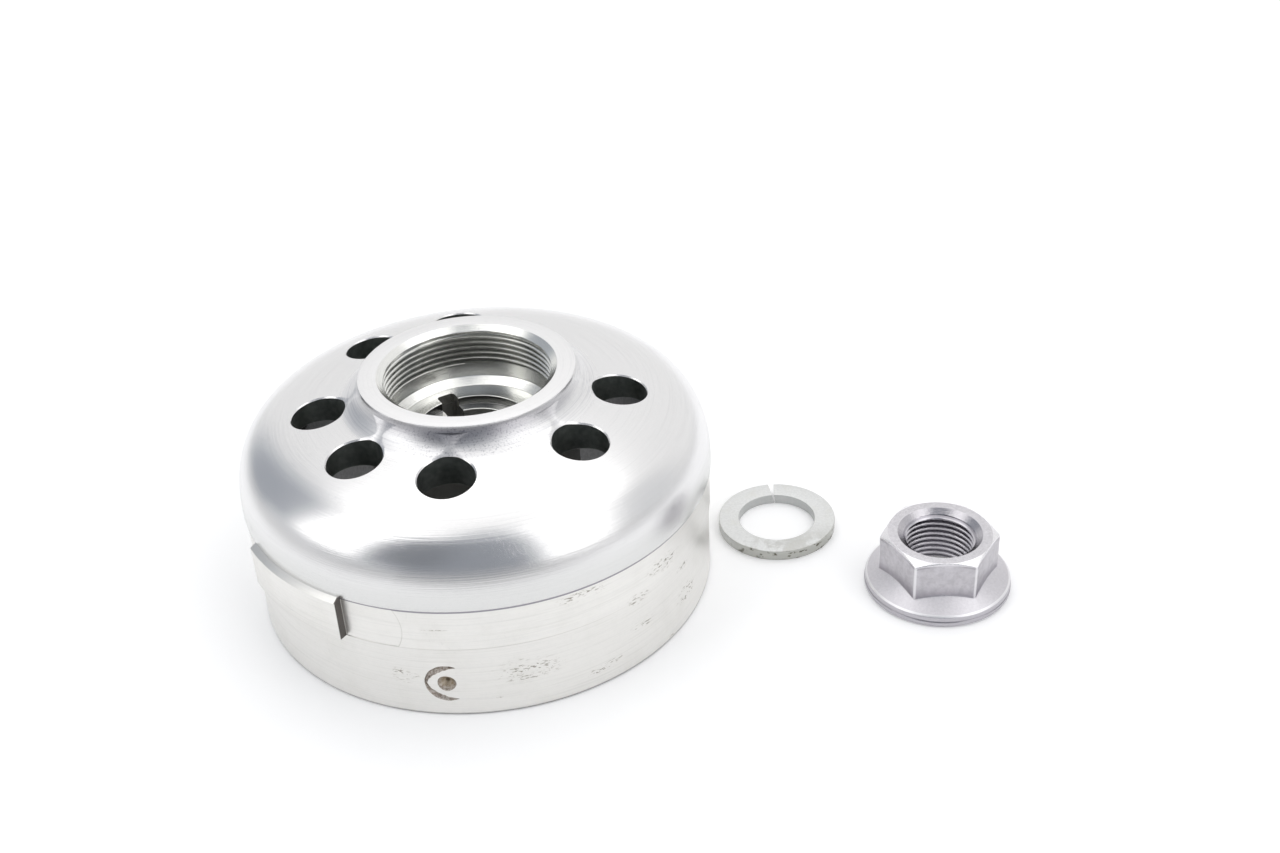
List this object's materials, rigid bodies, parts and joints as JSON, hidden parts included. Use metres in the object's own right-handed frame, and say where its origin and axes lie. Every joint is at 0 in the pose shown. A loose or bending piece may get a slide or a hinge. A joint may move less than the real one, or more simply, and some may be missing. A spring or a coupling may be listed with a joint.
{
  "type": "magneto flywheel",
  "caption": "Small engine magneto flywheel: domed steel rotor with magnets inside, tapered hub bore, puller thread, pick-up tooth, lock washer and flange nut.",
  "frame": {"origin": "centre of the tapered bore at the hub's open end, in the plane of the drum's open rim", "axes": "+Z along the shaft axis from the open rim to the threaded collar; +X towards the loose lock washer and nut; +Y away from the flange nut"},
  "size_m": [0.1238, 0.0772, 0.0391],
  "materials": {
    "turned_steel": "fine-turned bright steel, satin dome and collar, duller rim",
    "spacer_alloy": "plain turned alloy",
    "cage_plastic": "black glass-filled nylon",
    "liner_steel": "thin drawn stainless sheet",
    "spring_steel": "phosphated spring steel",
    "magnet_black": "ground magnet, dark grey",
    "washer_zinc": "dull light-grey zinc plating",
    "nut_steel": "satin plated steel"
  },
  "bodies": {
    "rotor": {"rotor_shell": "turned_steel", "end_spacer": "spacer_alloy", "magnet_cage": "cage_plastic", "magnet_liner": "liner_steel", "retaining_ring": "spring_steel", "magnet_1": "magnet_black", "magnet_2": "magnet_black", "magnet_3": "magnet_black", "magnet_4": "magnet_black", "magnet_5": "magnet_black", "magnet_6": "magnet_black", "magnet_7": "magnet_black", "magnet_8": "magnet_black", "magnet_9": "magnet_black", "magnet_10": "magnet_black", "magnet_11": "magnet_black", "magnet_12": "magnet_black"},
    "lock_washer": {"lock_washer": "washer_zinc"},
    "flange_nut": {"flange_nut": "nut_steel"}
  },
  "joints": [
    {"name": "lock_washer_lift", "type": "slide", "parent": "rotor", "child": "lock_washer", "axis": [0, 0, 1], "range_m": [0, 0.06]},
    {"name": "flange_nut_turn", "type": "hinge", "parent": "rotor", "child": "flange_nut", "pos_m": [0.07315, -0.0209, 0.005], "axis": [0, 0, 1], "continuous": true}
  ]
}
